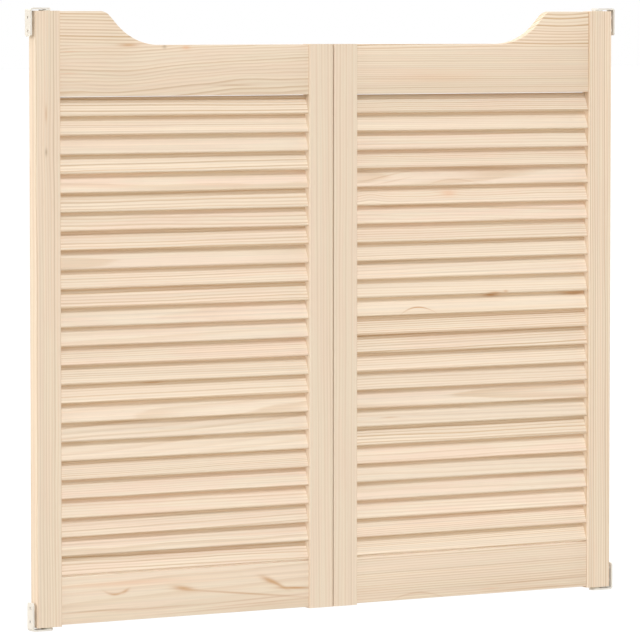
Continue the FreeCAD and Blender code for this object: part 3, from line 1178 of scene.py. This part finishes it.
RIGHT_TIMBER = Timber(
    hinge_stile=Cut(
        -110, -28, 0.004, 0.01, ring=4.2, wander=4, contrast=0.7, streak=0.4, tone=0.965, seed=7.5,
    ),
    meeting_stile=Cut(
        70, -30, 0.003, 0.01, ring=4.6, wander=3, contrast=0.28, streak=0.22, tone=0.94, seed=8.7,
    ),
    top_rail=Cut(
        150, -26, 0.0, 0.01, ring=3.3, wander=3, contrast=0.58, streak=0.26, tone=0.955, seed=1.8,
        marks=(
            Mark(-60, -38, 75, 9, 0.2, Tint.BLUSH),
            Mark(160, 52, 26, 12, 0.0, lift=-5),
        ),
        glue_line=5.5,
        upper=Cut(
            120, -40, 0.004, 0.0, ring=4.6, wander=6, contrast=1.2, streak=0.14, tone=0.985,
            seed=2.9,
        ),
    ),
    bottom_rail=Cut(
        -120, -30, 0.0, 0.02, ring=3.6, wander=4, contrast=0.66, streak=0.25, tone=0.96, seed=9.1,
        marks=(
            Mark(-101, -25.6, 40, 1.0, 0.5, Tint.TAN, curl=-7),
            Mark(110, -20, 110, 1.0, 0.55, Tint.TAN, slant=0.018),
            Mark(130, -31, 95, 1.1, 0.5, Tint.TAN),
            Mark(30, -27, 18, 2.0, 0.25, Tint.BLUSH),
        ),
    ),
    slat_marks={
        8: (Mark(-147, -2.6, 16, 1.2, 0.35, lift=3),),
        14: (
            Mark(37, 11.8, 14, 2.6, 0.75),
            Mark(190, 10.2, 24, 3.4, 0.65),
            Mark(-98, -4.2, 23, 1.0, 0.85, curl=-5.5),
        ),
        15: (
            Mark(38.8, -14.3, 12, 1.6, 0.6),
            Mark(58.8, -12.8, 4.0, 2.0, 0.5),
        ),
        20: (
            Mark(-42, 1, 14, 5, 0.45, Tint.BLUSH, lift=2.5),
            Mark(-182, -1, 9, 6, 0.0, lift=4),
        ),
        21: (
            Mark(-160, 0, 42, 0.9, 0.5, Tint.TAN, slant=0.19),
            Mark(-145, -7.5, 34, 0.9, 0.35, Tint.TAN, slant=0.17),
            Mark(-36, -6.5, 36, 1.0, 0.5, Tint.TAN, curl=-5),
        ),
    },
)


@dataclass
class ReturnSpring:
    """The torsion spring of one leaf, which winds up as the leaf turns.

    Its foot stays in the pin of the jamb and its head turns with the stile. A welded,
    smooth-shaded copy of its solid stands for it.

    Attributes:
        side: Leaf that the spring closes.
        wire: Diameter of the wire; not used.
        inner_leg: Height at the foot that stays with the pin, below the coil; not used.
        outer_leg: Height of the leg that stands in the stile, above the coil; not used.
    """

    side: Side
    wire: float = 2.0
    inner_leg: float = 2.2
    outer_leg: float = 9.0

    def build(self, nodes: dict[str, Object], material: Material) -> None:
        """Copies, welds, smooths and dresses the spring, and hides its node.

        Args:
            nodes: Node names to objects.
            material: Finish of the wire.
        """
        node = f"{self.side.label}_return_spring"
        spring = copy_of(nodes[node], f"{self.side.label}_torsion_spring")
        work_on(spring)
        bpy.ops.object.mode_set(mode="EDIT")
        bpy.ops.mesh.select_all(action="SELECT")
        bpy.ops.mesh.remove_doubles(threshold=WELD)
        close_edit()
        smooth(spring)
        dress(spring, material)
        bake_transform(spring)
        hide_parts(node)
        LOG.info("%s side: return spring", self.side.label)


@dataclass
class Pivots:
    """Brackets, pins, bushes, washers and dowels, which keep their solids, and the springs.

    Attributes:
        coat: Finish of the jamb brackets.
        pin: Finish of the pivot pins.
        wire: Finish of the return springs.
        nylon: Finish of the bushes and thrust washers.
        beech: Finish of the dowels.
    """

    coat: PowderCoat = PowderCoat()
    pin: Metal = Metal("drawn_steel", "#BFC0C2", 0.26, lines=0.2, stretch=12.0)
    wire: Metal = Metal("oiled_music_wire", "#77787C", 0.34, cloud=2.0)
    nylon: MouldedNylon = MouldedNylon()
    beech: TurnedBeech = TurnedBeech()

    def build(self, nodes: dict[str, Object]) -> None:
        """Dresses the hardware of both sides.

        Args:
            nodes: Node names to objects.
        """
        coat = self.coat.material()
        pin = self.pin.material()
        nylon = self.nylon.material()
        wire = self.wire.material()
        finishes = {
            "lower_bracket": coat,
            "upper_bracket": coat,
            "lower_pivot_pin": pin,
            "upper_pivot_pin": pin,
            "thrust_washer": nylon,
            "lower_bush": nylon,
            "upper_bush": nylon,
            "rail_dowels": self.beech.material(),
        }
        for side in Side:
            for part, material in finishes.items():
                dress(nodes[f"{side.label}_{part}"], material)
                LOG.info("%s side: %s", side.label, part)
            ReturnSpring(side).build(nodes, wire)


@dataclass(frozen=True)
class SoftSun:
    """A soft light so far off that it falls evenly on the doors and the floor.

    Attributes:
        name: Name of the light.
        towards: Direction from the doors to the light.
        spread: Angle in degrees that the light seems to fill.
        strength: Light on a surface that faces it.
        colour: Colour of the light as an sRGB hex code.
    """

    name: str
    towards: tuple[float, float, float]
    spread: float
    strength: float
    colour: str = "#FFFFFF"

    def build(self) -> None:
        """Sets the light."""
        sun = bpy.data.lights.new(self.name, "SUN")
        sun.angle = math.radians(self.spread)
        sun.energy = self.strength
        sun.color = srgb(self.colour)[:3]
        holder = bpy.data.objects.new(self.name, sun)
        holder.rotation_euler = Vector(self.towards).to_track_quat("Z", "Y").to_euler()
        bpy.context.scene.collection.objects.link(holder)


@dataclass
class Studio:
    """Pale floor, soft lights, white surround and the camera.

    Attributes:
        camera_place: Place of the camera in metres.
        camera_yaw: Turn of the view from +Y towards +X, in degrees.
        camera_pitch: Tilt of the view below the horizon, in degrees.
        sensor: Width of the camera's sensor.
        lens: Focal length for that sensor.
        view_end: Distance in metres past which the camera sees nothing.
        floor_size: Side of the square floor in metres.
        hang_height: Height in metres at which the doors hang above the floor.
        ambient: Brightness of the surround as the doors see it.
        ambient_colour: Colour of the surround as the doors see it.
        shown_colour: Colour of the surround as the camera sees it.
        floor_colour: Colour of the paper on the floor, which sets how much light it throws up.
        floor_glow: Light that the floor adds where it is seen, so that it is just white where
            no shadow falls.
        glow_colour: Colour of that light, which makes up for the warm paper.
        suns: The lights, with the rims that catch the outer edges of the leaves.
    """

    camera_place: tuple[float, float, float] = (-3.4422, -5.9502, 0.8920)
    camera_yaw: float = 29.920
    camera_pitch: float = 3.766
    sensor: float = 36.0
    lens: float = 256.55
    view_end: float = 300.0
    floor_size: float = 200.0
    hang_height: float = 0.42
    ambient: float = 0.47
    ambient_colour: str = "#FFEBD0"
    shown_colour: str = "#FFFFFF"
    floor_colour: str = "#BCB4A6"
    floor_glow: float = 0.56
    glow_colour: str = "#D0E5FF"
    suns: tuple[SoftSun, ...] = (
        SoftSun("key", (-0.20, -0.69, 0.70), 18, 1.45, "#E8F3FF"),
        SoftSun("fill", (-0.35, -0.88, 0.33), 45, 0.75, "#E8F3FF"),
        SoftSun("top", (-0.10, 0.15, 1.0), 60, 0.75),
        SoftSun("back", (0.25, 0.93, 0.30), 60, 0.45, "#FFF1DC"),
        SoftSun("left_rim", (-0.94, 0.22, 0.25), 60, 1.85),
        SoftSun("right_rim", (0.94, 0.22, 0.25), 60, 1.85),
    )

    @staticmethod
    def seen(tree: NodeTree) -> NodeSocket:
        """Adds what tells a ray that shows the background from one that only lights the doors.

        Args:
            tree: Node tree of the floor or of the surround.

        Returns:
            Socket that is 1 for camera, glossy and transmission rays and 0 for the others.
        """
        path = add(tree, "LightPath").node.outputs
        shown = path["Is Camera Ray"]
        for other in ("Is Glossy Ray", "Is Transmission Ray"):
            shown = add(tree, "Math", (shown, path[other]), operation="MAXIMUM")
        return shown

    def floor(self) -> None:
        """Lays the pale floor at the height below the doors at which such doors hang."""
        bpy.ops.object.select_all(action="DESELECT")
        place = (0, 0, -self.hang_height)
        bpy.ops.mesh.primitive_plane_add(size=self.floor_size, location=place)
        floor = bpy.context.object
        floor.name = "studio_floor"
        material = new_material("white_paper")
        tree = material.node_tree
        strength = add(tree, "Math", (self.seen(tree), self.floor_glow), operation="MULTIPLY")
        glow = add(tree, "Emission", {"Color": srgb(self.glow_colour), "Strength": strength})
        paper = add(tree, "BsdfDiffuse", {"Color": srgb(self.floor_colour)})
        add(tree, "OutputMaterial", {"Surface": add(tree, "AddShader", (paper, glow))})
        dress(floor, material)
        LOG.info("studio: floor")

    def surround(self) -> None:
        """Sets a world that looks white and lights the doors softly."""
        world = bpy.data.worlds.new("white_surround")
        bpy.context.scene.world = world
        world.use_nodes = True
        tree = world.node_tree
        tree.nodes.clear()
        seen = self.seen(tree)
        tones = (seen, srgb(self.ambient_colour), srgb(self.shown_colour))
        glow = {
            "Color": add(tree, "MixRGB", tones),
            "Strength": add(tree, "MapRange", {"Value": seen, "To Min": self.ambient}),
        }
        add(tree, "OutputWorld", {"Surface": add(tree, "Background", glow)})
        LOG.info("studio: surround")

    def camera(self) -> None:
        """Sets the camera."""
        camera = bpy.data.cameras.new("camera")
        camera.sensor_width = self.sensor
        camera.lens = self.lens
        camera.clip_end = self.view_end
        holder = bpy.data.objects.new("camera", camera)
        holder.location = self.camera_place
        pitch = math.radians(90 - self.camera_pitch)
        holder.rotation_euler = (pitch, 0, -math.radians(self.camera_yaw))
        bpy.context.scene.collection.objects.link(holder)
        bpy.context.scene.camera = holder
        LOG.info("studio: camera")

    def build(self) -> None:
        """Builds the studio."""
        self.camera()
        self.floor()
        self.surround()
        for sun in self.suns:
            sun.build()
            LOG.info("studio: %s light", sun.name)
        bpy.context.scene.view_settings.view_transform = "Standard"


def main() -> None:
    """Builds the doors and the studio and logs each piece."""
    logging.basicConfig(level=logging.INFO, format="%(name)s: %(message)s")
    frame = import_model()
    pine = PlanedPine()
    log = pine.log()
    for side, timber in ((Side.LEFT, LEFT_TIMBER), (Side.RIGHT, RIGHT_TIMBER)):
        Stiles(side, timber).build(frame["nodes"], pine, log)
        Rails(side, timber).build(pine, log)
        Louvres(side, timber).build(pine, log)
    Pivots().build(frame["nodes"])
    Studio().build()


if __name__ == "__main__":
    main()
